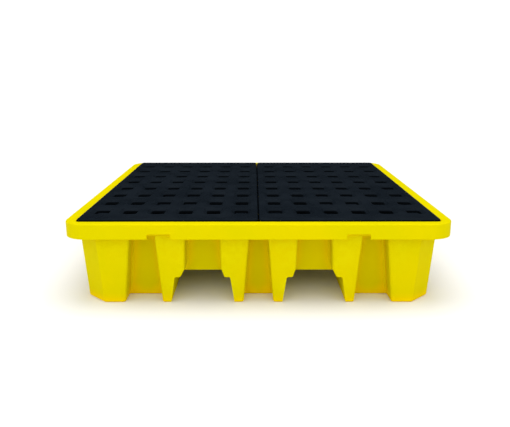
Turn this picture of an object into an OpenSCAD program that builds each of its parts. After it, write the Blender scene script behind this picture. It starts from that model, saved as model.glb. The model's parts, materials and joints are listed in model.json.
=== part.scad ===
// Spill containment pallet for four drums: a moulded yellow sump with a flanged rim,
// nine hollow feet and fork channels both ways, and two black lift-out deck grates.
// +Z is up, X runs across the front, -Y is the front. The origin is the centre of the base.

/* [Sump] */
// Outside width and depth of the rim
pallet_w = 1300; // [1260:5:1340]
// Height of the rim's top face above the floor
rim_top_z = 292; // [285:1:310]
// Height of the rim's outer skirt
rim_h = 52; // [40:1:60]
// Width of the rim's top face
rim_w = 39; // [36:0.5:42]
// Corner radius of the rim seen from above
rim_r = 78; // [60:1:90]
// Wall thickness of the moulding
wall = 6; // [5:0.5:7]
// Height of the fork channels
fork_h = 94; // [90:1:100]
// Depth of the seat that holds the grates
seat_d = 44; // [40:1:46]

/* [Feet] */
// Setback of the feet from the rim at the floor
foot_setback = 50; // [49:1:54]
// Outward lean of the outer faces, in degrees
lean = 3.5; // [3:0.1:4]
// Depth of the recesses between the feet
recess_d = 80; // [70:1:85]
// Size of the slanted cut on the four outer corners
corner_cut = 69; // [60:1:75]
// Radius of the upright edges
edge_r = 8; // [5:0.5:9]

/* [Rim notches] */
// Width of each notch in the skirt
notch_w = 78; // [60:1:90]
// Height of each notch
notch_h = 18; // [12:1:22]
// Distance of the notches from the middle of a side
notch_x = 329; // [320:1:340]

/* [Grates] */
// Gap between the grates, and between a grate and the rim
grate_gap = 1.5; // [1:0.1:2]
// Height of the grate top above the rim
grate_proud = 7; // [0:0.5:8]
// Columns of pockets in one grate
grate_cols = 6; // [4:1:6]
// Rows of pockets in one grate
grate_rows = 8; // [4:4:8]
// Spacing of the columns
pitch_x = 98; // [90:1:99]
// Spacing of the rows
pitch_y = 140; // [125:1:145]
// Width of a pocket at the top
pocket_w = 64; // [56:1:66]
// Length of a pocket at the top
pocket_l = 86; // [76:1:90]
// Depth of a closed pocket
dimple_d = 16; // [12:1:20]
// Thickness of the grate's skin, ribs and pocket walls
skin = 5; // [4:0.5:6]

/* [Hidden] */
SIDES = ["front", "right", "back", "left"];
CORNERS = ["back_right", "back_left", "front_left", "front_right"];
ENDS = ["left", "right"];

arc_steps = 2;                      // facets on each rounded upright edge
eps = 1;                            // how far a cutting shape runs past a face
rest_gap = 0.3;                     // clearance under a grate
half = pallet_w / 2;
seat_half = half - rim_w;
seat_z = rim_top_z - seat_d;
shelf_z = seat_z - wall;
rim_low_z = rim_top_z - rim_h;
rim_edge = 4;                       // bevel on the rim's top edge
seat_r = 8;                         // corner radius of the seat
face_0 = half - foot_setback;       // outer face of the feet at the floor
wall_0 = face_0 - recess_d;         // back of the recesses at the floor

// Half widths where the feet meet the floor, and how far each moves up to the rim
corner_in_0 = 459;
corner_in_rise = -32;
outer_out_0 = 331;
outer_out_rise = 23;
outer_in_0 = 301;
outer_in_fork = -14;                // change from the floor to the channel roof
outer_top_in = 253;                 // upper part, above the shoulder
outer_top_rise = -9;
inner_out_0 = 83;
inner_out_fork = 14;
inner_top_out = 127;
inner_top_rise = 6;
inner_in_0 = 51;
inner_in_rise = -24;
shoulder_h = 28;                    // slanted shoulders above each channel roof
outer_shoulder = 13;
inner_shoulder = 9;
outer_zone = 236;                   // where the corner walls end, just inside the outer feet
middle_zone = 142;                  // where the middle walls end
roof_in = inner_out_0 + inner_out_fork - wall - edge_r;
roof_out = outer_in_0 + outer_in_fork + wall + edge_r;

// Pillars that stand in the sump and carry the grates
pillar_r = 44;
pillar_top_r = 30;
pillar_fn = 16;
fork_mid = (outer_in_0 + outer_in_fork + inner_out_0 + inner_out_fork) / 2;

// Grates
grate_w = seat_half - 1.5 * grate_gap;
grate_l = 2 * (seat_half - grate_gap);
grate_top = rim_top_z + grate_proud;
grate_low = seat_z + rest_gap;
grate_edge = 2.5;                   // bevel round the grate's top edge
cells_l = grate_rows * pitch_y;
pocket_taper = 0.72;                // size of a through pocket's foot against its mouth
dimple_taper = 0.86;
pocket_r = 14;
drain_d = 10;                       // drain hole in each closed pocket
ring = 4;                           // rows that one drum stands on

function rise(z) = z / rim_top_z;
function face_at(z) = face_0 + z * tan(lean);
function wall_at(z) = wall_0 + z * tan(lean + 1);
function rot(p, a) = [p[0] * cos(a) - p[1] * sin(a), p[0] * sin(a) + p[1] * cos(a)];
function flat(list) = [for (part = list) for (p = part) p];
function unit(v) = v / norm(v);

// An outline with every corner replaced by an arc of the given radius
function rounded(pts, r, steps = arc_steps) = flat([
    for (i = [0:len(pts) - 1])
        let (n = len(pts), p = pts[i],
             a = unit(pts[(i + n - 1) % n] - p), b = unit(pts[(i + 1) % n] - p),
             half_turn = acos(a * b) / 2, reach = r / tan(half_turn),
             start = p + a * reach, finish = p + b * reach,
             centre = p + unit(a + b) * r / sin(half_turn),
             v = start - centre, w = finish - centre,
             sweep = atan2(v[0] * w[1] - v[1] * w[0], v * w))
        [for (k = [0:steps]) centre + rot(v, sweep * k / steps)]
]);

// A skin stretched over outlines that have the same number of points, one per level
module loft(levels) {
    n = len(levels[0][1]);
    m = len(levels);
    points = [for (level = levels) for (p = level[1]) [p[0], p[1], level[0]]];
    sides = [
        for (j = [0:m - 2], i = [0:n - 1])
            let (k = (i + 1) % n)
            [[j * n + i, (j + 1) * n + i, (j + 1) * n + k], [j * n + i, (j + 1) * n + k, j * n + k]]
    ];
    bottom = [for (i = [0:n - 1]) i];
    top = [for (i = [n - 1:-1:0]) (m - 1) * n + i];
    polyhedron(points, concat([bottom, top], flat(sides)), convexity = 10);
}

function square_outline(h, r) = rounded([[-h, -h], [h, -h], [h, h], [-h, h]], r, 2 * arc_steps);

// One side of the body above the channels, seen as the front, from the left corner cut
// to the right one. t is how far the outline lies inside the outer surface.
function side_points(z, t) =
    let (f = face_at(z) - t, w = wall_at(z) - t, u = (z - fork_h) / (rim_top_z - fork_h),
         slant = max(0, 1 - (z - fork_h) / shoulder_h),
         cut = f - corner_cut + 0.41 * t,
         ci = corner_in_0 + corner_in_rise * rise(z) + t,
         oo = outer_out_0 + outer_out_rise * rise(z) - t,
         oi = outer_top_in + outer_top_rise * u + outer_shoulder * slant + t,
         io = inner_top_out + inner_top_rise * u - inner_shoulder * slant - t,
         ii = inner_in_0 + inner_in_rise * rise(z) + t,
         right = [[ii, -w], [ii, -f], [io, -f], [io, -w], [oi, -w], [oi, -f], [oo, -f], [oo, -w],
                  [ci, -w], [ci, -f], [cut, -f]],
         n = len(right))
    concat([for (k = [n - 1:-1:0]) [-right[k][0], right[k][1]]], right);

function body_outline(z, t) =
    rounded(flat([for (a = [0:90:270]) [for (p = side_points(z, t)) rot(p, a)]]), edge_r);

// One corner block with its two feet, below the channel roof
function corner_block(z, t) =
    let (f = face_at(z) - t, w = wall_at(z) - t,
         cut = f - corner_cut + 0.41 * t,
         ci = corner_in_0 + corner_in_rise * rise(z) + t,
         oo = outer_out_0 + outer_out_rise * rise(z) - t,
         oi = outer_in_0 + outer_in_fork * z / fork_h + t,
         leg = [[oi, oi], [f, oi], [f, oo], [w, oo], [w, ci], [f, ci], [f, cut]],
         n = len(leg))
    rounded(concat(leg, [for (k = [n - 1:-1:1]) [leg[k][1], leg[k][0]]]), edge_r);

// One middle block with its two feet, below the channel roof
function middle_block(z, t) =
    let (f = face_at(z) - t, w = wall_at(z) - t,
         oi = outer_in_0 + outer_in_fork * z / fork_h + t,
         io = inner_out_0 + inner_out_fork * z / fork_h - t,
         ii = inner_in_0 + inner_in_rise * rise(z) + t)
    rounded([[-io, -oi], [-io, -f], [-ii, -f], [-ii, -w], [ii, -w], [ii, -f], [io, -f], [io, -oi]],
            edge_r);

function centre_block(z, t) =
    let (io = inner_out_0 + inner_out_fork * z / fork_h - t) square_outline(io, edge_r);

// Takes the solids in it as one skin
module moulded() {
    color([0.9, 0.83, 0.02]) resize([0, 0, 0]) children();
}

// A hollow cup between two outlines at each level, from the floor up to the channel roofs
module cup(outer_levels, inner_levels) {
    moulded() difference() {
        loft(outer_levels);
        loft(inner_levels);
    }
}

module corner_foot(turn) {
    rotate([0, 0, turn])
        cup([for (z = [0, fork_h]) [z, corner_block(z, 0)]],
            [for (z = [wall, fork_h + eps]) [z, corner_block(z, wall)]]);
}

module middle_foot(turn) {
    rotate([0, 0, turn])
        cup([for (z = [0, fork_h]) [z, middle_block(z, 0)]],
            [for (z = [wall, fork_h + eps]) [z, middle_block(z, wall)]]);
}

module centre_foot() {
    cup([for (z = [0, fork_h]) [z, centre_block(z, 0)]],
        [for (z = [wall, fork_h + eps]) [z, centre_block(z, wall)]]);
}

// The body above the channels from z0 up to z1, drawn t inside its outer surface
module body(z0, z1, t) {
    loft([for (z = [z0, fork_h + shoulder_h, z1]) [z, body_outline(z, t)]]);
}

// The walls round the sump between the channel roofs and the shelf
module walls() {
    difference() {
        body(fork_h, shelf_z, 0);
        body(fork_h - eps, shelf_z + eps, wall);
    }
}

// A quarter of the plan, seen from above as a triangle from the centre to one side
module side_quarter(turn) {
    rotate([0, 0, turn])
        linear_extrude(rim_top_z + eps) polygon([[0, 0], [-pallet_w, -pallet_w], [pallet_w, -pallet_w]]);
}

// The stretch of one side between x0 and x1, with the front as the side at turn 0
module stretch(turn, x0, x1) {
    moulded() intersection() {
        walls();
        side_quarter(turn);
        rotate([0, 0, turn]) translate([x0, -pallet_w, 0]) cube([x1 - x0, pallet_w, rim_top_z]);
    }
}

// The legs and the recess from a channel to the corner; end is 0 on the left, 1 on the right
module corner_wall(turn, end) {
    if (end == 0) stretch(turn, -half, -outer_zone); else stretch(turn, outer_zone, half);
}

module middle_wall(turn) {
    stretch(turn, -middle_zone, middle_zone);
}

// The plain wall over a channel, between two legs
module bridge(turn, end) {
    if (end == 0) stretch(turn, -outer_zone, -middle_zone); else stretch(turn, middle_zone, outer_zone);
}

// The roofs over the channels, with the mouths of the feet and of the pillars
module channel_roofs() {
    difference() {
        loft([for (z = [fork_h, fork_h + wall]) [z, body_outline(z, wall)]]);
        for (turn = [0:90:270]) rotate([0, 0, turn]) {
            loft([for (z = [fork_h - eps, fork_h + wall + eps]) [z, corner_block(z, wall)]]);
            loft([for (z = [fork_h - eps, fork_h + wall + eps]) [z, middle_block(z, wall)]]);
        }
        loft([for (z = [fork_h - eps, fork_h + wall + eps]) [z, centre_block(z, wall)]]);
        for (column = [-1:1], row = [-1, 1])
            translate([column * fork_mid, row * fork_mid, fork_h - eps])
                cylinder(r = pillar_r - wall, h = wall + 2 * eps, $fn = pillar_fn);
    }
}

// The part of the roofs in the box of plan from (x0, y0) to (x1, y1)
module roof_part(x0, y0, x1, y1) {
    moulded() intersection() {
        channel_roofs();
        translate([x0, y0, 0]) cube([x1 - x0, y1 - y0, rim_top_z]);
    }
}

// The roof over one of the channels that run from the front to the back
module long_roof(end) {
    near = end == 0 ? -roof_out : roof_in;
    roof_part(near, -half, near + roof_out - roof_in, half);
}

// The roof over a third of a channel that runs across
module cross_roof(column, row) {
    x0 = [-half, -roof_in, roof_out][column];
    x1 = [-roof_out, roof_in, half][column];
    y0 = row == 0 ? -roof_out : roof_in;
    roof_part(x0, y0, x1, y0 + roof_out - roof_in);
}

// A hollow cone over a channel, open below, that carries the grates
module pillar(column, row) {
    low = fork_h + wall;
    color([0.9, 0.83, 0.02])
        translate([column * fork_mid, row * fork_mid, low])
            difference() {
                cylinder(r1 = pillar_r, r2 = pillar_top_r, h = seat_z - low, $fn = pillar_fn);
                translate([0, 0, -eps])
                    cylinder(r1 = pillar_r - wall, r2 = pillar_top_r - wall, h = seat_z - low - wall + eps,
                             $fn = pillar_fn);
            }
}

// One side of the flat shelf that the grates rest on
module shelf(turn) {
    moulded() intersection() {
        difference() {
            loft([for (z = [shelf_z, seat_z]) [z, square_outline(seat_half + wall, seat_r + wall)]]);
            loft([for (z = [shelf_z - eps, seat_z + eps]) [z, body_outline(z, wall)]]);
        }
        side_quarter(turn);
    }
}

// One side of the rim: the wall behind the grates, the flat top and the hanging skirt
module rim(turn) {
    skirt_in = half - wall;
    moulded() intersection() {
        difference() {
            loft([[rim_low_z, square_outline(half, rim_r)],
                  [rim_top_z - rim_edge, square_outline(half, rim_r)],
                  [rim_top_z, square_outline(half - rim_edge, rim_r - rim_edge)]]);
            loft([for (z = [rim_low_z - eps, rim_top_z + eps]) [z, square_outline(seat_half, seat_r)]]);
            difference() {
                loft([for (z = [rim_low_z - eps, rim_top_z - wall])
                    [z, square_outline(skirt_in, rim_r - wall)]]);
                loft([for (z = [seat_z, rim_top_z]) [z, square_outline(seat_half + wall, seat_r + wall)]]);
            }
            for (side = [-1, 1])
                rotate([0, 0, turn])
                    translate([side * notch_x - notch_w / 2, -half - eps, rim_low_z - eps])
                        cube([notch_w, wall + 2 * eps, notch_h + eps]);
        }
        side_quarter(turn);
    }
}

function pocket_outline(k) =
    let (w = pocket_w * k / 2, l = pocket_l * k / 2)
    rounded([[-w, -l], [w, -l], [w, l], [-w, l]], pocket_r * k, 1);

// A closed pocket stands in the ring that a drum rests on, the others drain
function is_open(col, row) =
    let (r = row % ring, edge_row = r == 0 || r == ring - 1,
         edge_col = col == 0 || col == grate_cols - 1,
         mid_col = col == floor(grate_cols / 2) || col == ceil(grate_cols / 2) - 1)
    edge_row ? !edge_col : !mid_col;

module pocket(open) {
    low = open ? grate_low - eps : grate_top - dimple_d;
    loft([[low, pocket_outline(open ? pocket_taper : dimple_taper)],
          [grate_top + eps, pocket_outline(1)]]);
    if (!open) translate([0, 0, grate_low]) cylinder(d = drain_d, h = seat_d, $fn = pillar_fn);
}

// The open cell under the skin, round the walls of its pocket
module cell_void(open) {
    low = grate_low - eps;
    grow = 1 + 2 * skin / pocket_l;
    difference() {
        translate([-(pitch_x - skin) / 2, -(pitch_y - skin) / 2, low])
            cube([pitch_x - skin, pitch_y - skin, grate_top - skin - low]);
        if (open)
            loft([[low - eps, pocket_outline(pocket_taper * grow)],
                  [grate_top + eps, pocket_outline(grow)]]);
        else
            loft([[grate_top - dimple_d - skin, pocket_outline(dimple_taper * grow)],
                  [grate_top + eps, pocket_outline(grow)]]);
    }
}

// The open strip under the skin between the last row and the grate's end wall
module end_void(side) {
    low = grate_low - eps;
    long = (grate_l - cells_l - skin) / 2 - skin;
    mid = side * (cells_l + skin + long) / 2;
    for (col = [0:grate_cols - 1])
        translate([(col - (grate_cols - 1) / 2) * pitch_x - (pitch_x - skin) / 2, mid - long / 2, low])
            cube([pitch_x - skin, long, grate_top - skin - low]);
}

module grate() {
    w = grate_w / 2;
    l = grate_l / 2;
    box = function (inset, r) rounded([[inset - w, inset - l], [w - inset, inset - l],
        [w - inset, l - inset], [inset - w, l - inset]], r);
    difference() {
        loft([[grate_low, box(0, seat_r - grate_gap)],
              [grate_top - grate_edge, box(0, seat_r - grate_gap)],
              [grate_top, box(grate_edge, seat_r - grate_gap - grate_edge)]]);
        for (col = [0:grate_cols - 1], row = [0:grate_rows - 1])
            translate([(col - (grate_cols - 1) / 2) * pitch_x, (row - (grate_rows - 1) / 2) * pitch_y, 0]) {
                cell_void(is_open(col, row));
                pocket(is_open(col, row));
            }
        for (side = [-1, 1]) end_void(side);
    }
}

module left_grate() {
    color([0.11, 0.13, 0.15]) translate([-(grate_gap + grate_w) / 2, 0, 0]) grate();
}

module right_grate() {
    color([0.11, 0.13, 0.15]) translate([(grate_gap + grate_w) / 2, 0, 0]) grate();
}

for (i = [0:3]) corner_foot(90 * i);
for (i = [0:3]) middle_foot(90 * i);
centre_foot();
for (i = [0:3], k = [0, 1])
    corner_wall(90 * i, k);
for (i = [0:3]) middle_wall(90 * i);
for (i = [0:3], k = [0, 1])
    bridge(90 * i, k);
for (k = [0, 1]) long_roof(k);
for (k = [0:5]) cross_roof(k % 3, floor(k / 3));
for (i = [0:3]) shelf(90 * i);
for (i = [0:3]) rim(90 * i);
for (k = [1:6]) pillar((k - 1) % 3 - 1, k > 3 ? 1 : -1);
left_grate();
right_grate();
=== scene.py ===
"""Looks of a spill containment pallet: a yellow moulded sump and two black drainage grates.

Everything is in metres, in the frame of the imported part: +Z up, X across the front, -Y the front.
"""

import json
import math

import bpy
import numpy as np
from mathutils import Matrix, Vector


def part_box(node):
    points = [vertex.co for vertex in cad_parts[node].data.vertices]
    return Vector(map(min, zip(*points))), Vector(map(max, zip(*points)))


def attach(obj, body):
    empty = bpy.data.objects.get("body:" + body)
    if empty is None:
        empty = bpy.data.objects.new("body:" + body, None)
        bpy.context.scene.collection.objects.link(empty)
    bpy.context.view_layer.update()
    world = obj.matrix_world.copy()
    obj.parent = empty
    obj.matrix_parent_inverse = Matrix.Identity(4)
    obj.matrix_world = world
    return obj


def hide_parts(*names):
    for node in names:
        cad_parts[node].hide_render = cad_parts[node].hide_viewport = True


bl_info = {
    "name": "Spill Containment Pallet",
    "version": (1, 0, 0),
    "blender": (4, 5, 0),
    "location": "View3D > Sidebar > Pallet",
    "description": "Builds a four-drum spill pallet with its deck grates and a plain studio",
    "category": "Add Mesh",
}

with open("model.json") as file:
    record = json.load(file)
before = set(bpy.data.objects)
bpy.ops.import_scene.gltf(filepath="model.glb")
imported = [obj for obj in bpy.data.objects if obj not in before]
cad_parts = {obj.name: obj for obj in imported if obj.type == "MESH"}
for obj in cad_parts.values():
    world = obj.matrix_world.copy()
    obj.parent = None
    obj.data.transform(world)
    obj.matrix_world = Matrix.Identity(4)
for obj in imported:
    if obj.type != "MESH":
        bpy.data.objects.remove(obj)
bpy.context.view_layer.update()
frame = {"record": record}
SUMP_NODES = frame["record"]["behaviour"]["bodies"]["sump"]
RIM_TOP = max(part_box(name)[1].z for name in SUMP_NODES)
RIM_HALF = max(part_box(name)[1].x for name in SUMP_NODES)
GRATE_NODES = ("left_grate", "right_grate")
MM = 0.001
QUARTER_TURNS = range(4)
SHARP_ANGLE = math.radians(32)  # faces that meet at more than this keep a crisp edge
OVERLAP = 0.05 * MM  # how far a cutting shape runs past the face it opens


def length(name, description, millimetres):
    """One adjustable length, given in millimetres."""
    return bpy.props.FloatProperty(
        name=name, description=description, default=millimetres * MM, unit="LENGTH", precision=4
    )


def angle(name, description, degrees):
    """One adjustable angle, given in degrees."""
    return bpy.props.FloatProperty(
        name=name, description=description, default=math.radians(degrees), subtype="ANGLE"
    )


def share(name, description, value):
    """One adjustable amount between 0 and 1."""
    return bpy.props.FloatProperty(
        name=name, description=description, default=value, min=0, max=1, subtype="FACTOR"
    )


def colour(name, description, rgb):
    """One adjustable colour, in linear light."""
    return bpy.props.FloatVectorProperty(
        name=name, description=description, default=rgb, size=3, min=0, max=1, subtype="COLOR"
    )


class SumpSizes(bpy.types.PropertyGroup):
    rim_height: length("Rim height", "Height of the rim's outer skirt", 52)
    rim_width: length("Rim width", "Width of the rim's top face", 39)
    rim_radius: length("Rim corner radius", "Corner radius of the rim seen from above", 78)
    rim_round: length("Rim rounding", "Radius of the rim's top edges", 5)
    wall: length("Wall", "Wall thickness of the moulding", 6)
    seat_depth: length("Seat depth", "Depth of the seat under the rim's top face", 44)
    seat_radius: length("Seat corner radius", "Corner radius of the seat", 16)
    fork_height: length("Fork channel height", "Height of the channel roof above the floor", 94)
    setback: length("Foot setback", "How far the feet stand behind the rim at the floor", 50)
    lean: angle("Lean", "Outward lean of the feet's outer faces", 3.5)
    recess_lean: angle("Recess lean", "Outward lean of the walls behind the feet", 4.5)
    recess: length("Recess depth", "Depth of the recesses between the feet", 80)
    corner_cut: length("Corner cut", "Size of the slanted cut on the outer corners", 69)
    edge: length("Edge radius", "Radius of the upright edges", 9)
    sole_edge: length("Sole edge radius", "Radius where the walls meet the soles of the feet", 6)
    notch_width: length("Notch width", "Width of each notch in the rim's skirt", 78)
    notch_height: length("Notch height", "Height of each notch in the rim's skirt", 18)
    notch_place: length("Notch place", "Distance of the notches from the middle of a side", 329)


class GrateSizes(bpy.types.PropertyGroup):
    pitch_x: length("Column pitch", "Spacing of the pocket columns", 98)
    pitch_y: length("Row pitch", "Spacing of the pocket rows", 140)
    pocket_width: length("Pocket width", "Width of a pocket below its rounded lip", 52)
    pocket_length: length("Pocket length", "Length of a pocket below its rounded lip", 75)
    pocket_radius: length("Pocket corner radius", "Corner radius of a pocket below its lip", 11)
    mouth_round: length("Mouth rounding", "Radius of the edge round a pocket's mouth", 8)
    dimple_depth: length("Dimple depth", "Depth of a closed pocket", 16)
    collar: length("Collar", "Depth of the wall round a through pocket", 14)
    open_taper: share("Open taper", "Size of a through pocket's foot against its mouth", 0.85)
    dimple_taper: share("Dimple taper", "Size of a closed pocket's floor against its mouth", 0.86)
    skin: length("Skin", "Thickness of the grate's skin, ribs and pocket walls", 5)
    edge_round: length("Edge rounding", "Radius of the grate's top outer edge", 8)
    corner: length("Corner radius", "Corner radius of the grate seen from above", 14.5)
    drain: length("Drain hole", "Diameter of the hole in a closed pocket", 10)


class Finishes(bpy.types.PropertyGroup):
    yellow: colour("Yellow", "Colour of the sump's polyethylene", (0.62, 0.54, 0.0))
    yellow_worn: colour("Scuffed yellow", "Colour of scuffed edges", (0.68, 0.61, 0.002))
    # Painted shade: mixed into recesses and creases by ambient occlusion; it also tints the random mottling.
    yellow_deep: colour("Mottle and shade yellow", "Colour of the mottling and of the shade painted in the hollows", (0.92, 0.60, 0.0))
    black: colour("Black", "Colour of the grates' polyethylene", (0.0052, 0.0078, 0.0112))
    # Painted shade on steep faces: the pocket walls and the grate's sides.
    black_steep: colour("Steep-wall shade black", "Colour of the shade painted on the grates' steep walls", (0.0012, 0.0018, 0.0026))
    # Scuffs and a painted highlight on convex edges, mostly the pocket lips; also the paler tone of the
    # random mottling.
    black_worn: colour("Scuffed and highlight black", "Colour of scuffed grate edges and of the highlight painted on pocket lips", (0.018, 0.024, 0.031))
    floor: colour("Floor", "Colour of the studio floor", (0.88, 0.88, 0.88))


class Studio(bpy.types.PropertyGroup):
    camera_place: bpy.props.FloatVectorProperty(
        name="Camera place", description="Where the camera stands", size=3,
        default=(-0.016, -2.516, 0.788), subtype="TRANSLATION", unit="LENGTH"
    )
    camera_pitch: angle("Camera pitch", "How far the camera looks down", 13.83)
    camera_yaw: angle("Camera yaw", "How far the camera turns to its right", 0.12)
    lens: bpy.props.FloatProperty(
        name="Lens", description="Focal length of the camera", default=41.81, unit="CAMERA"
    )


# ---------------------------------------------------------------- shapes


def round_corners(corners, radius, steps):
    """Outlines with every corner replaced by an arc.

    corners is levels x corners x 2 and radius one value per level. Each arc's centre lies on the corner's
    bisector at radius / sin(half the corner's angle), and the arc runs between the two points where the
    circle touches the sides.
    """
    radius = np.broadcast_to(np.asarray(radius, float), corners.shape[:1])[:, None, None]
    to_last = np.roll(corners, 1, axis=1) - corners
    to_next = np.roll(corners, -1, axis=1) - corners
    to_last /= np.linalg.norm(to_last, axis=2, keepdims=True)
    to_next /= np.linalg.norm(to_next, axis=2, keepdims=True)
    half = np.arccos(np.clip((to_last * to_next).sum(2, keepdims=True), -1, 1)) / 2
    bisector = to_last + to_next
    bisector /= np.linalg.norm(bisector, axis=2, keepdims=True)
    centre = corners + bisector * radius / np.sin(half)
    start = corners + to_last * radius / np.tan(half) - centre
    finish = corners + to_next * radius / np.tan(half) - centre
    first = np.arctan2(start[..., 1], start[..., 0])
    sweep = np.arctan2(finish[..., 1], finish[..., 0]) - first
    sweep = (sweep + np.pi) % (2 * np.pi) - np.pi
    turn = first[..., None] + sweep[..., None] * np.linspace(0, 1, steps + 1)
    arc = np.stack([np.cos(turn), np.sin(turn)], axis=-1) * radius[..., None] + centre[:, :, None, :]
    return arc.reshape(len(corners), -1, 2)


def square_corners(half_x, half_y, levels=1):
    """Corners of a rectangle round the origin, anticlockwise, one row per level."""
    half_x = np.broadcast_to(half_x, levels)
    half_y = np.broadcast_to(half_y, levels)
    signs = np.array([[-1, -1], [1, -1], [1, 1], [-1, 1]], float)
    return signs[None] * np.stack([half_x, half_y], axis=1)[:, None, :]


def quarter_arc(radius, steps):
    """(inset, height) along a quarter circle that turns from flat to upright."""
    turn = np.linspace(0, np.pi / 2, steps + 1)
    return radius * (1 - np.sin(turn)), radius * (1 - np.cos(turn))


def stack(outlines, heights):
    """Points of outlines placed at their heights: levels x points x 3."""
    heights = np.broadcast_to(np.asarray(heights, float)[:, None], outlines.shape[:2])
    return np.concatenate([outlines, heights[..., None]], axis=2)


def grid_faces(levels, around, wrap_levels=False):
    """Four-cornered faces between neighbouring points of a levels x around grid closed around."""
    last = levels if wrap_levels else levels - 1
    row, column = np.meshgrid(np.arange(last), np.arange(around), indexing="ij")
    above, beside = (row + 1) % levels, (column + 1) % around
    corners = [row * around + column, row * around + beside, above * around + beside, above * around + column]
    return np.stack(corners, axis=-1).reshape(-1, 4)


def surface(points, wrap_levels=False):
    """(vertices, faces) of a closed skin over a grid.

    Its ends are flat, unless the levels close on themselves.
    """
    levels, around = points.shape[:2]
    faces = grid_faces(levels, around, wrap_levels).tolist()
    if not wrap_levels:
        faces.append(list(range(around))[::-1])
        faces.append(list(range((levels - 1) * around, levels * around)))
    return points.reshape(-1, 3), faces


def placed(shape, x=0.0, y=0.0, turns=0):
    """The same shape turned by quarter turns about Z and then shifted."""
    vertices, faces = shape
    cos, sin = ((1, 0), (0, 1), (-1, 0), (0, -1))[turns % 4]
    turned = np.stack(
        [vertices[:, 0] * cos - vertices[:, 1] * sin, vertices[:, 0] * sin + vertices[:, 1] * cos,
         vertices[:, 2]], axis=1
    )
    return turned + np.array([x, y, 0.0]), faces


def joined(shapes):
    """Several shapes as one list of vertices and faces."""
    vertices, faces, count = [], [], 0
    for points, polygons in shapes:
        vertices.append(points)
        faces.extend([[index + count for index in polygon] for polygon in polygons])
        count += len(points)
    return np.concatenate(vertices), faces


def new_piece(name, shape):
    """A mesh object made from vertices and faces, at the origin, with its faces turned outwards."""
    mesh = bpy.data.meshes.new(name)
    mesh.from_pydata(shape[0].tolist(), [], shape[1])
    mesh.validate()
    piece = bpy.data.objects.new(name, mesh)
    bpy.context.scene.collection.objects.link(piece)
    return piece


def cut(piece, shape, operation="DIFFERENCE"):
    """piece with a shape taken away, added or kept in common; the tool shape is thrown away."""
    tool = new_piece("tool", shape) if isinstance(shape, tuple) else shape
    modifier = piece.modifiers.new("cut", "BOOLEAN")
    modifier.solver = "MANIFOLD"
    modifier.operation = operation
    modifier.object = tool
    made = bpy.data.meshes.new_from_object(piece.evaluated_get(bpy.context.evaluated_depsgraph_get()))
    if not len(made.polygons):
        raise RuntimeError(f"{piece.name}: {operation} left nothing")
    piece.modifiers.clear()
    old, piece.data = piece.data, made
    made.name = piece.name
    bpy.data.meshes.remove(old)
    spent = tool.data
    bpy.data.objects.remove(tool)
    bpy.data.meshes.remove(spent)
    return piece


def soften(piece):
    """Smooth shading with crisp edges where faces meet at a sharp angle."""
    mesh = piece.data
    mesh.polygons.foreach_set("use_smooth", np.ones(len(mesh.polygons), bool))
    mesh.set_sharp_from_angle(angle=SHARP_ANGLE)
    weighted = piece.modifiers.new("even_shading", "WEIGHTED_NORMAL")
    weighted.keep_sharp = True
    weighted.weight = 80
    return piece


def settle(piece, body, material):
    """Gives a finished piece its material and its body."""
    piece.data.materials.clear()
    piece.data.materials.append(material)
    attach(piece, body)
    return piece


# ---------------------------------------------------------------- sump

# Half widths of the feet, in millimetres: where they stand on the floor and where they meet the rim
FOOT_PLAN = {
    "corner_inner": (459, 427),
    "outer_outer": (331, 354),
    "middle_inner": (51, 27),
}
# The same above the channel roof, at the roof and at the rim
UPPER_PLAN = {
    "outer_inner": (253, 244),
    "middle_outer": (127, 133),
}
# The slanted shoulders above each channel roof, in millimetres
SHOULDER_OUTER, SHOULDER_MIDDLE, SHOULDER_HEIGHT = 13, 9, 28
CHANNEL = ((83, 301), (97, 287))  # the channel's two walls at the floor and at the roof, in millimetres
PILLAR = (44, 30)  # radius of a support pillar at its foot and at its top, in millimetres
PILLAR_SIDES = 48
ARC_STEPS = 5


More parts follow.
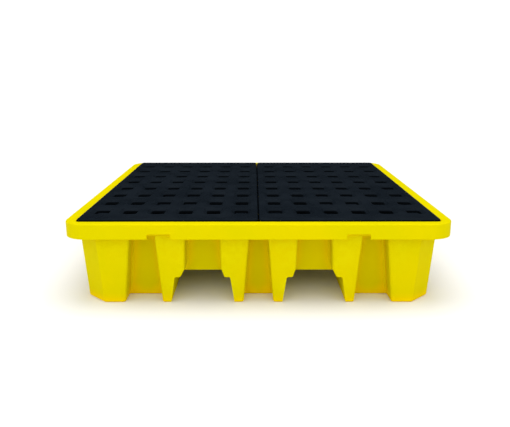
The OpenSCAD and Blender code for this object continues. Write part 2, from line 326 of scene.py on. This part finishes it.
class SumpShape:
    """The sump's outlines as functions of height, worked out from its sizes."""

    def __init__(self, sizes):
        self.sizes = sizes
        self.half = RIM_HALF
        self.top = RIM_TOP
        self.seat_z = self.top - sizes.seat_depth
        self.seat_half = self.half - sizes.rim_width
        self.face = self.half - sizes.setback

    def between(self, pair, height, low, high):
        """A half width that changes evenly from one height to another."""
        return (pair[0] + (pair[1] - pair[0]) * (height - low) / (high - low)) * MM

    def body(self, height, inset):
        """Outline of the feet and walls at the given heights, moved in by inset.

        One side is a chain of straight faces: the walls behind the feet and the feet's outer faces, each
        a straight function of height. The other three sides are the first one turned by quarter turns.
        """
        sizes = self.sizes
        roof = sizes.fork_height
        face = self.face + height * math.tan(sizes.lean) - inset
        wall = self.face - sizes.recess + height * math.tan(sizes.recess_lean) - inset
        slant = MM * np.clip(1 - (height - roof) / (SHOULDER_HEIGHT * MM), 0, 1)
        corner_inner = self.between(FOOT_PLAN["corner_inner"], height, 0, self.top) + inset
        outer_outer = self.between(FOOT_PLAN["outer_outer"], height, 0, self.top) - inset
        outer_inner = self.between(UPPER_PLAN["outer_inner"], height, roof, self.top) + inset
        middle_outer = self.between(UPPER_PLAN["middle_outer"], height, roof, self.top) - inset
        outer_inner = outer_inner + SHOULDER_OUTER * slant
        middle_outer = middle_outer - SHOULDER_MIDDLE * slant
        middle_inner = self.between(FOOT_PLAN["middle_inner"], height, 0, self.top) + inset
        corner = face - sizes.corner_cut + (math.sqrt(2) - 1) * inset
        across = np.stack(
            [middle_inner, middle_inner, middle_outer, middle_outer, outer_inner, outer_inner,
             outer_outer, outer_outer, corner_inner, corner_inner, corner], axis=1
        )
        out = np.stack([wall, face, face, wall, wall, face, face, wall, wall, face, face], axis=1)
        x = np.concatenate([-across[:, ::-1], across], axis=1)
        y = -np.concatenate([out[:, ::-1], out], axis=1)
        sides = [(x, y), (-y, x), (-x, -y), (y, -x)]
        corners = np.concatenate([np.stack(side, axis=2) for side in sides], axis=1)
        return round_corners(corners, sizes.edge, ARC_STEPS)

    def block(self, inset, low, high):
        """The body as if it had no fork channels, from low to high, with a rounded sole edge."""
        sizes = self.sizes
        round_in, round_up = quarter_arc(sizes.sole_edge, ARC_STEPS)
        joints = [sizes.fork_height, sizes.fork_height + SHOULDER_HEIGHT * MM, high]
        heights = np.concatenate([low + round_up, joints])
        insets = np.concatenate([inset + round_in, np.full(len(joints), inset)])
        return surface(stack(self.body(heights, insets), heights))

    def channel(self, inset, low, turns, side):
        """One fork channel as a long bar: a section carried straight through the pallet.

        The section's walls lean like the feet's, its roof corners are rounded, and it flares at the floor
        with the radius of the sole's edge.
        """
        sizes = self.sizes
        (near_0, far_0), (near_1, far_1) = np.array(CHANNEL) * MM
        flare = 4 * sizes.sole_edge
        roof = sizes.fork_height + inset
        section = np.array([
            [near_0 - inset - flare, low - flare], [far_0 + inset + flare, low - flare],
            [far_0 + inset + flare, low], [far_0 + inset, low], [far_1 + inset, roof],
            [near_1 - inset, roof], [near_0 - inset, low], [near_0 - inset - flare, low],
        ])
        section = round_corners(section[None], sizes.sole_edge, ARC_STEPS)[0]
        reach = self.half + flare
        points = np.zeros((2, len(section), 3))
        points[..., 0] = section[:, 0]
        points[..., 2] = section[:, 1]
        points[0, :, 1] = reach
        points[1, :, 1] = -reach
        bar = surface(points)
        return placed(bar, turns=turns + 2 * (side < 0))

    def rim(self):
        """Rim, seat wall and shelf as one closed profile carried round the rounded square."""
        sizes = self.sizes
        half, top, seat, wall, bend = self.half, self.top, self.seat_half, sizes.wall, sizes.rim_round
        low = top - sizes.rim_height
        shelf_in = self.face - sizes.recess - 2 * wall
        lip = wall / 2
        profile = np.array([
            [shelf_in, self.seat_z], [seat, self.seat_z], [seat, top], [half, top], [half, low],
            [half - wall, low], [half - wall, top - wall], [seat + wall, top - wall],
            [seat + wall, self.seat_z - wall], [shelf_in, self.seat_z - wall],
        ])
        bends = np.array([0.5 * MM, lip, bend, bend, 0.4 * lip, 0.4 * lip, lip, lip, lip, 0.5 * MM])
        loop = np.concatenate([
            self.one_arc(profile, index, bends[index]) for index in range(len(profile))
        ])
        reach = (loop[:, 0] - seat) / (half - seat)
        radius = sizes.seat_radius + (sizes.rim_radius - sizes.seat_radius) * np.clip(reach, 0, 1)
        outlines = round_corners(square_corners(loop[:, 0], loop[:, 0], len(loop)), radius, 4 * ARC_STEPS)
        return surface(stack(outlines, loop[:, 1]), wrap_levels=True)

    @staticmethod
    def one_arc(profile, index, radius):
        """The arc that replaces one corner of a profile."""
        steps = ARC_STEPS
        arcs = round_corners(profile[None], radius, steps)[0]
        return arcs[index * (steps + 1):(index + 1) * (steps + 1)]

    def notch(self, turns, side):
        """The rounded opening in the rim's skirt above an outer foot."""
        sizes = self.sizes
        low = self.top - sizes.rim_height
        half_width, bend = sizes.notch_width / 2, sizes.wall
        section = square_corners(half_width, sizes.notch_height)
        section = round_corners(section, bend, ARC_STEPS)[0]
        depths = np.array([self.half - 2 * sizes.wall, self.half + sizes.wall])
        points = np.zeros((2, len(section), 3))
        points[..., 0] = section[:, 0] + side * sizes.notch_place
        points[..., 1] = -depths[:, None]
        points[..., 2] = section[:, 1] + low
        return placed(surface(points), turns=turns)

    def pillar(self, inset):
        """A support pillar as a turned shape: radius as a function of height, with a rounded top."""
        low = self.sizes.fork_height + (-self.sizes.wall if inset else self.sizes.wall / 2)
        top = self.seat_z - inset
        foot, head = PILLAR[0] * MM - inset, PILLAR[1] * MM - inset
        bend = self.sizes.wall
        drop_in, drop = quarter_arc(bend, ARC_STEPS)
        slope = (foot - head) / (top - low)
        radii = np.concatenate([[foot], (head + slope * drop - drop_in)[::-1]])
        heights = np.concatenate([[low], (top - drop)[::-1]])
        turn = np.linspace(0, 2 * np.pi, PILLAR_SIDES, endpoint=False)
        circle = np.stack([np.cos(turn), np.sin(turn)], axis=1)
        return surface(stack(radii[:, None, None] * circle, heights))

    def pillars(self, inset):
        """The two rows of pillars over the channels."""
        middle = sum(CHANNEL[1]) / 2 * MM
        one = self.pillar(inset)
        return joined([placed(one, x * middle, y * middle) for x in (-1, 0, 1) for y in (-1, 1)])


def hollowed(name, shape, inset, low, high):
    """The block with its four fork channels taken out."""
    piece = new_piece(name, shape.block(inset, low, high))
    for turns in (0, 1):
        for side in (-1, 1):
            cut(piece, shape.channel(inset, low - OVERLAP, turns, side))
    return piece


def build_sump(sizes):
    """Outside less inside: walls, feet, channels, rim, shelf and pillars as one closed moulding."""
    shape = SumpShape(sizes)
    wall = sizes.wall
    sump = hollowed("sump_moulding", shape, 0, 0, shape.seat_z - wall / 2)
    inside = hollowed("sump_inside", shape, wall, wall, shape.seat_z + wall / 2)
    cut(sump, shape.rim(), "UNION")
    cut(sump, inside)
    cut(sump, shape.pillars(0), "UNION")
    cut(sump, shape.pillars(wall))
    cut(sump, joined([shape.notch(turns, side) for turns in QUARTER_TURNS for side in (-1, 1)]))
    return soften(sump)


# ---------------------------------------------------------------- grates

COLUMNS, ROWS = 6, 8
RING = 4  # rows that one drum covers
GRATE_FOOT_ROUND = 1.5 * MM
SMALLEST_CORNER = 4 * MM
DRAIN_SIDES = 24


def is_open(column, row):
    """A through pocket drains. The closed ones form the ring that a drum's rim stands on."""
    edge_row = row % RING in (0, RING - 1)
    edge_column = column in (0, COLUMNS - 1)
    middle_column = column in (COLUMNS // 2 - 1, COLUMNS // 2)
    return not edge_column if edge_row else not middle_column


class GrateShape:
    """One grate's shapes, round its own middle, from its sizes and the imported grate's box."""

    def __init__(self, sizes, low, high):
        self.sizes = sizes
        self.low, self.top = low.z, high.z
        self.half_x, self.half_y = (high.x - low.x) / 2, (high.y - low.y) / 2
        self.middle = (high.x + low.x) / 2

    def plate(self):
        """The solid plate: a rounded rectangle with rounded top and bottom edges."""
        sizes = self.sizes
        round_in, round_up = quarter_arc(sizes.edge_round, ARC_STEPS)
        foot_in, foot_up = quarter_arc(GRATE_FOOT_ROUND, 2)
        insets = np.concatenate([foot_in, round_in[::-1]])
        heights = np.concatenate([self.low + foot_up, (self.top - round_up)[::-1]])
        corners = square_corners(self.half_x - insets, self.half_y - insets, len(insets))
        radius = np.maximum(sizes.corner - insets, SMALLEST_CORNER)
        return surface(stack(round_corners(corners, radius, 2 * ARC_STEPS), heights))

    def cup(self, grow, foot, foot_z, over):
        """A tapered pocket: the outline shrinks evenly towards the foot and flares in an arc at the lip."""
        sizes = self.sizes
        lip = sizes.mouth_round
        widen, drop = (part[::-1] for part in quarter_arc(lip, ARC_STEPS))
        heights = np.concatenate([[foot_z], self.top - drop, [self.top + over]])
        size = foot + (1 - foot) * np.clip((heights - foot_z) / (self.top - foot_z), 0, 1)
        grow = grow + np.concatenate([[0], lip - widen[::-1], [lip]])
        half_x = size * sizes.pocket_width / 2 + grow
        half_y = size * sizes.pocket_length / 2 + grow
        radius = size * sizes.pocket_radius + grow
        corners = square_corners(half_x, half_y, len(size))
        return surface(stack(round_corners(corners, radius, ARC_STEPS), heights))

    def cells(self):
        """(x, y, open) of every pocket."""
        sizes = self.sizes
        for column in range(COLUMNS):
            for row in range(ROWS):
                x = (column - (COLUMNS - 1) / 2) * sizes.pitch_x
                y = (row - (ROWS - 1) / 2) * sizes.pitch_y
                yield x, y, is_open(column, row)

    def in_every_cell(self, through, closed):
        """One shape at every through pocket's place and another at every closed one's."""
        return joined([placed(through if is_through else closed, x, y) for x, y, is_through in self.cells()])

    def box(self, half_x, half_y):
        """The upright hollow under the skin, with rounded corners."""
        skin = self.sizes.skin
        heights = np.array([self.low - skin, self.top - skin])
        corners = square_corners(half_x, half_y, 2)
        return surface(stack(round_corners(corners, skin, 2), heights))

    def hollows(self):
        """Everything open under the skin: one hollow for each cell, and one past each end row."""
        sizes = self.sizes
        skin = sizes.skin
        cell = self.box((sizes.pitch_x - skin) / 2, (sizes.pitch_y - skin) / 2)
        end_length = (2 * self.half_y - ROWS * sizes.pitch_y - skin) / 2 - skin
        end = self.box((sizes.pitch_x - skin) / 2, end_length / 2)
        end_y = (ROWS * sizes.pitch_y + skin + end_length) / 2
        cells = [placed(cell, x, y) for x, y, _ in self.cells()]
        ends = [placed(end, x, side * end_y) for x, y, _ in self.cells() if y > end_y - sizes.pitch_y
                for side in (-1, 1)]
        return joined(cells + ends)

    def cups(self):
        """The outside of every pocket's wall."""
        sizes = self.sizes
        skin = sizes.skin
        through = self.cup(skin, sizes.open_taper, self.top - sizes.collar, 0)
        closed = self.cup(skin, sizes.dimple_taper, self.top - sizes.dimple_depth - skin, 0)
        return self.in_every_cell(through, closed)

    def pockets(self):
        """The inside of every pocket, with its rounded lip."""
        sizes = self.sizes
        over = sizes.skin
        through = self.cup(0, sizes.open_taper, self.top - sizes.collar - MM, over)
        closed = self.cup(0, sizes.dimple_taper, self.top - sizes.dimple_depth, over)
        return self.in_every_cell(through, closed)

    def drains(self):
        """The round holes through the closed pockets."""
        turn = np.linspace(0, 2 * np.pi, DRAIN_SIDES, endpoint=False)
        circle = np.stack([np.cos(turn), np.sin(turn)], axis=1) * self.sizes.drain / 2
        heights = np.array([self.low, self.top - self.sizes.dimple_depth / 2])
        hole = surface(stack(np.repeat(circle[None], 2, axis=0), heights))
        return joined([placed(hole, x, y) for x, y, is_through in self.cells() if not is_through])


def build_grate(sizes, node):
    """The plate less the hollows round its pocket walls, less the pockets and the drain holes."""
    low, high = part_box(node)
    shape = GrateShape(sizes, low, high)
    hollows = new_piece("hollows", shape.hollows())
    cut(hollows, shape.cups())
    grate = new_piece(node + "_moulding", shape.plate())
    cut(grate, hollows)
    cut(grate, shape.pockets())
    cut(grate, shape.drains())
    place = np.empty(len(grate.data.vertices) * 3)
    grate.data.vertices.foreach_get("co", place)
    place[0::3] += shape.middle
    grate.data.vertices.foreach_set("co", place)
    grate.data.update()
    return soften(grate)


# ---------------------------------------------------------------- finishes


def group(name, inputs, outputs):
    """An empty shader node group with named inputs and outputs: (tree, its input node, its output node)."""
    tree = bpy.data.node_groups.new(name, "ShaderNodeTree")
    for label, kind, default in inputs:
        socket = tree.interface.new_socket(label, in_out="INPUT", socket_type=kind)
        if default is not None:
            socket.default_value = default
    for label, kind in outputs:
        tree.interface.new_socket(label, in_out="OUTPUT", socket_type=kind)
    return tree, tree.nodes.new("NodeGroupInput"), tree.nodes.new("NodeGroupOutput")


def node(tree, kind, inputs=(), **settings):
    """A node with its settings, and values or links for its input sockets."""
    made = tree.nodes.new(kind)
    for key, value in settings.items():
        setattr(made, key, value)
    for socket, value in dict(inputs).items():
        if isinstance(value, bpy.types.NodeSocket):
            tree.links.new(value, made.inputs[socket])
        else:
            made.inputs[socket].default_value = value
    return made


def ramp(tree, factor, low, high):
    """0 below low and 1 above high, smooth between."""
    return node(
        tree, "ShaderNodeMapRange", {"Value": factor, "From Min": low, "From Max": high},
        interpolation_type="SMOOTHSTEP",
    ).outputs["Result"]


def mixed(tree, factor, first, second):
    """Two colours mixed by a factor."""
    mix = tree.nodes.new("ShaderNodeMixRGB")
    tree.links.new(factor, mix.inputs["Fac"])
    for socket, value in (("Color1", first), ("Color2", second)):
        if isinstance(value, bpy.types.NodeSocket):
            tree.links.new(value, mix.inputs[socket])
        else:
            mix.inputs[socket].default_value = (*value, 1)
    return mix.outputs["Color"]


def grain_group():
    """Moulded skin: fine orange-peel height plus soft broad colour mottling, on object coordinates."""
    tree, given, result = group(
        "moulded_grain",
        [("Fine Scale", "NodeSocketFloat", 420.0), ("Broad Scale", "NodeSocketFloat", 5.0)],
        [("Height", "NodeSocketFloat"), ("Mottle", "NodeSocketFloat")],
    )
    place = node(tree, "ShaderNodeTexCoord").outputs["Object"]
    fine = node(tree, "ShaderNodeTexNoise", {"Vector": place, "Scale": given.outputs["Fine Scale"],
                                            "Detail": 3.0, "Roughness": 0.55})
    broad = node(tree, "ShaderNodeTexNoise", {"Vector": place, "Scale": given.outputs["Broad Scale"],
                                             "Detail": 4.0, "Roughness": 0.6})
    tree.links.new(fine.outputs["Fac"], result.inputs["Height"])
    tree.links.new(ramp(tree, broad.outputs["Fac"], 0.35, 0.65), result.inputs["Mottle"])
    return tree


def wear_group():
    """Masks from how far the surface stands out or folds in: scuffs on convex edges, which on the black also
    stand in for a painted highlight on the pocket lips, and painted shade in hollows.
    """
    tree, given, result = group(
        "edge_wear_highlight_and_hollow_shade",
        [("Edge Width", "NodeSocketFloat", 0.012), ("Break Up", "NodeSocketFloat", 60.0)],
        [("Wear And Highlight", "NodeSocketFloat"), ("Hollow Shade", "NodeSocketFloat")],
    )
    place = node(tree, "ShaderNodeTexCoord").outputs["Object"]
    point = node(tree, "ShaderNodeNewGeometry").outputs["Pointiness"]
    breakup = node(tree, "ShaderNodeTexNoise", {"Vector": place, "Scale": given.outputs["Break Up"],
                                               "Detail": 6.0, "Roughness": 0.7}).outputs["Fac"]
    # Convex edges broken into patches: scuffs, and on the black a painted highlight.
    edges, patches = ramp(tree, point, 0.52, 0.60), ramp(tree, breakup, 0.40, 0.62)
    wear_and_highlight = node(tree, "ShaderNodeMath", {0: edges, 1: patches}, operation="MULTIPLY")
    # Painted shade: ambient occlusion within the given reach makes the mask that darkens hollows and creases.
    hollow = node(
        tree, "ShaderNodeAmbientOcclusion", {"Distance": given.outputs["Edge Width"]}, samples=8
    )
    hollow_shade_mask = ramp(tree, hollow.outputs["AO"], 0.95, 0.35)
    tree.links.new(wear_and_highlight.outputs["Value"], result.inputs["Wear And Highlight"])
    tree.links.new(hollow_shade_mask, result.inputs["Hollow Shade"])
    return tree


def group_node(tree, made, **values):
    """A group placed in a material with its own values."""
    placed_group = tree.nodes.new("ShaderNodeGroup")
    placed_group.node_tree = made
    for label, value in values.items():
        placed_group.inputs[label.replace("_", " ")].default_value = value
    return placed_group


def new_material(name):
    """An empty node material: (material, tree, its shader)."""
    material = bpy.data.materials.new(name)
    material.use_nodes = True
    tree = material.node_tree
    return material, tree, tree.nodes["Principled BSDF"]


def uneven(tree, skin, shader, least, most):
    """Roughness that follows the moulded skin's mottling."""
    limits = {"Value": skin.outputs["Mottle"], "To Min": least, "To Max": most}
    rough = node(tree, "ShaderNodeMapRange", limits)
    tree.links.new(rough.outputs["Result"], shader.inputs["Roughness"])


def pebbled(tree, skin, shader, strength, distance):
    """A fine bump from the moulded skin's height."""
    height = {"Height": skin.outputs["Height"], "Strength": strength, "Distance": distance}
    bump = node(tree, "ShaderNodeBump", height)
    tree.links.new(bump.outputs["Normal"], shader.inputs["Normal"])


def moulded_yellow(finishes, grain, wear_highlight_shade_tree):
    """Yellow polyethylene: even colour with faint mottling, painted shade as a deeper orange-yellow in the
    hollows, scuffed on the edges.
    """
    material, tree, shader = new_material("moulded_yellow")
    skin = group_node(tree, grain, Fine_Scale=260.0, Broad_Scale=4.0)
    wear_highlight_shade = group_node(tree, wear_highlight_shade_tree, Edge_Width=0.05, Break_Up=45.0)
    soft = node(tree, "ShaderNodeMath", {0: skin.outputs["Mottle"], 1: 0.12}, operation="MULTIPLY")
    base = mixed(tree, soft.outputs["Value"], finishes.yellow, finishes.yellow_deep)
    # Painted shade: ambient occlusion mixes the deeper orange-yellow into recesses and creases.
    faint = node(tree, "ShaderNodeMath", {0: wear_highlight_shade.outputs["Hollow Shade"], 1: 0.8}, operation="MULTIPLY")
    base = mixed(tree, faint.outputs["Value"], base, finishes.yellow_deep)
    base = mixed(tree, wear_highlight_shade.outputs["Wear And Highlight"], base, finishes.yellow_worn)
    tree.links.new(base, shader.inputs["Base Color"])
    uneven(tree, skin, shader, 0.42, 0.54)
    shader.inputs["Specular IOR Level"].default_value = 0.005
    shader.inputs["Specular Tint"].default_value = (1.0, 0.86, 0.05, 1)
    pebbled(tree, skin, shader, 0.10, 0.6 * MM)
    return material


def moulded_black(finishes, grain, wear_highlight_shade_tree):
    """Black polyethylene: textured deck, paler on edges where it is scuffed and where a highlight is painted
    on the pocket lips, with painted shade on its steep walls.
    """
    material, tree, shader = new_material("moulded_black")
    skin = group_node(tree, grain, Fine_Scale=340.0, Broad_Scale=9.0)
    wear_highlight_shade = group_node(tree, wear_highlight_shade_tree, Edge_Width=0.03, Break_Up=70.0)
    lift = node(tree, "ShaderNodeMath", {0: skin.outputs["Mottle"], 1: 0.18}, operation="MULTIPLY")
    base = mixed(tree, lift.outputs["Value"], finishes.black, finishes.black_worn)
    # Painted highlight: convex edges, mostly the pocket lips, turn paler, partly scuffs and partly a
    # highlight.
    base = mixed(tree, wear_highlight_shade.outputs["Wear And Highlight"], base, finishes.black_worn)
    # Painted shade: the steeper a face, the more of the dark steep-wall colour, standing in for the shade
    # inside the pockets and on the grate's sides.
    normal = node(tree, "ShaderNodeNewGeometry").outputs["Normal"]
    facing = node(tree, "ShaderNodeSeparateXYZ", {"Vector": normal})
    level = ramp(tree, facing.outputs["Z"], 0.2, 0.85)
    base = mixed(tree, level, finishes.black_steep, base)
    tree.links.new(base, shader.inputs["Base Color"])
    uneven(tree, skin, shader, 0.26, 0.34)
    shader.inputs["Specular IOR Level"].default_value = 0.005
    pebbled(tree, skin, shader, 0.25, 0.8 * MM)
    return material


def studio_floor(finishes):
    """Pale seamless paper with a barely visible tooth, which glows to white far from the pallet."""
    material, tree, shader = new_material("pale_paper")
    place = node(tree, "ShaderNodeTexCoord").outputs["Object"]
    tooth = node(tree, "ShaderNodeTexNoise", {"Vector": place, "Scale": 90.0, "Detail": 4.0})
    pale = tuple(finishes.floor)
    tone = mixed(tree, tooth.outputs["Fac"], pale, tuple(0.985 * part for part in pale))
    tree.links.new(tone, shader.inputs["Base Color"])
    reach = node(tree, "ShaderNodeVectorMath", {0: place}, operation="LENGTH")
    far = ramp(tree, reach.outputs["Value"], 1.4, 6.0)
    tree.links.new(mixed(tree, far, (0, 0, 0), (0.6, 0.6, 0.6)), shader.inputs["Emission Color"])
    shader.inputs["Emission Strength"].default_value = 1.0
    shader.inputs["Roughness"].default_value = 0.95
    shader.inputs["Specular IOR Level"].default_value = 0.05
    return material


def finish(maker):
    """The material that a function makes, made once."""
    found = bpy.data.materials.get(maker.__name__)
    if found:
        return found
    grain = bpy.data.node_groups.get("moulded_grain") or grain_group()
    wear_highlight_shade_tree = bpy.data.node_groups.get("edge_wear_highlight_and_hollow_shade") or wear_group()
    return maker(bpy.context.scene.pallet_finishes, grain, wear_highlight_shade_tree)


# ---------------------------------------------------------------- operators


class PALLET_OT_sump(bpy.types.Operator):
    """Builds the sump moulding in place of the plain one"""

    bl_idname = "pallet.sump"
    bl_label = "Build Sump"

    def execute(self, context):
        sump = build_sump(context.scene.pallet_sump)
        settle(sump, "sump", finish(moulded_yellow))
        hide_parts(*SUMP_NODES)
        return {"FINISHED"}


class PALLET_OT_grates(bpy.types.Operator):
    """Builds both deck grates in place of the plain ones"""

    bl_idname = "pallet.grates"
    bl_label = "Build Grates"

    def execute(self, context):
        for name in GRATE_NODES:
            grate = build_grate(context.scene.pallet_grate, name)
            settle(grate, name, finish(moulded_black))
            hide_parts(name)
        return {"FINISHED"}


class PALLET_OT_studio(bpy.types.Operator):
    """Sets up the floor, the soft lights and the camera"""

    bl_idname = "pallet.studio"
    bl_label = "Build Studio"

    def execute(self, context):
        scene = context.scene
        build_floor(scene.pallet_finishes)
        build_lights(scene)
        build_camera(scene, scene.pallet_studio)
        return {"FINISHED"}


def build_floor(finishes):
    """A wide flat square under the pallet."""
    corners = square_corners(FLOOR_REACH, FLOOR_REACH)[0]
    floor = new_piece("studio_floor", (np.append(corners, np.zeros((4, 1)), axis=1), [[0, 1, 2, 3]]))
    floor.data.materials.append(studio_floor(finishes))


SKY_FULL, SKY_FAINT, BACKDROP = 1.15, 0.02, 1.1  # strengths of the sky and of the backdrop
FLOOR_REACH = 40.0  # half the floor's width


def area_light(name, place, target, size, power):
    """A square soft light that faces a point."""
    lamp = bpy.data.lights.new(name, "AREA")
    lamp.shape = "SQUARE"
    lamp.size = size
    lamp.energy = power
    light = bpy.data.objects.new(name, lamp)
    light.location = place
    light.rotation_euler = (Vector(target) - Vector(place)).to_track_quat("-Z", "Y").to_euler()
    bpy.context.scene.collection.objects.link(light)


def build_lights(scene):
    """A white backdrop, a bright sky that fades out low behind the pallet, and two large soft lights.

    The sky's strength falls from its full value to a faint one where a direction's backward part exceeds
    its upward part, so that the dark deck doesn't mirror the backdrop. The backdrop itself stays white.
    """
    world = bpy.data.worlds.new("studio_white")
    world.use_nodes = True
    tree = world.node_tree
    towards = node(tree, "ShaderNodeTexCoord").outputs["Generated"]
    direction = node(tree, "ShaderNodeSeparateXYZ", {"Vector": towards})
    behind = node(tree, "ShaderNodeMath", {0: direction.outputs["Y"], 1: direction.outputs["Z"]},
                  operation="SUBTRACT")
    fade = node(tree, "ShaderNodeMapRange", {
        "Value": behind.outputs["Value"], "From Min": -0.25, "From Max": 0.35,
        "To Min": SKY_FULL, "To Max": SKY_FAINT,
    }, interpolation_type="SMOOTHSTEP")
    seen = node(tree, "ShaderNodeLightPath").outputs["Is Camera Ray"]
    strength = node(tree, "ShaderNodeMix", {"Factor": seen, "A": fade.outputs["Result"], "B": BACKDROP})
    background = tree.nodes["Background"]
    background.inputs["Color"].default_value = (1, 1, 1, 1)
    tree.links.new(strength.outputs["Result"], background.inputs["Strength"])
    scene.world = world
    area_light("overhead", (0, -0.3, 3.4), (0, 0, 0.2), size=2.6, power=54)
    area_light("front", (-0.6, -4.0, 1.6), (0, 0, 0.15), size=2.4, power=12)
    scene.view_settings.view_transform = "Standard"
    scene.view_settings.look = "None"


def build_camera(scene, studio):
    """The camera, level from side to side, at the given place, pitch and turn."""
    lens = bpy.data.cameras.new("camera")
    lens.sensor_width = 36
    lens.lens = studio.lens
    lens.clip_end = 60
    camera = bpy.data.objects.new("camera", lens)
    camera.location = studio.camera_place
    camera.rotation_euler = (math.pi / 2 - studio.camera_pitch, 0, -studio.camera_yaw)
    scene.collection.objects.link(camera)
    scene.camera = camera


class PALLET_PT_panel(bpy.types.Panel):
    """Lists the pallet's pieces and their sizes"""

    bl_label = "Spill Pallet"
    bl_idname = "PALLET_PT_panel"
    bl_space_type = "VIEW_3D"
    bl_region_type = "UI"
    bl_category = "Pallet"

    def draw(self, context):
        for operator in OPERATORS:
            self.layout.operator(operator.bl_idname)
        for name in SETTINGS:
            box = self.layout.box()
            settings = getattr(context.scene, name)
            for key in settings.__annotations__:
                box.prop(settings, key)


OPERATORS = (PALLET_OT_sump, PALLET_OT_grates, PALLET_OT_studio)
SETTINGS = {
    "pallet_sump": SumpSizes,
    "pallet_grate": GrateSizes,
    "pallet_finishes": Finishes,
    "pallet_studio": Studio,
}
CLASSES = (*SETTINGS.values(), *OPERATORS, PALLET_PT_panel)


def register():
    for cls in CLASSES:
        bpy.utils.register_class(cls)
    for name, cls in SETTINGS.items():
        setattr(bpy.types.Scene, name, bpy.props.PointerProperty(type=cls))


def unregister():
    for name in SETTINGS:
        delattr(bpy.types.Scene, name)
    for cls in reversed(CLASSES):
        bpy.utils.unregister_class(cls)


def main():
    """Builds everything in order."""
    register()
    bpy.ops.pallet.sump()
    bpy.ops.pallet.grates()
    bpy.ops.pallet.studio()


if __name__ == "__main__":
    main()
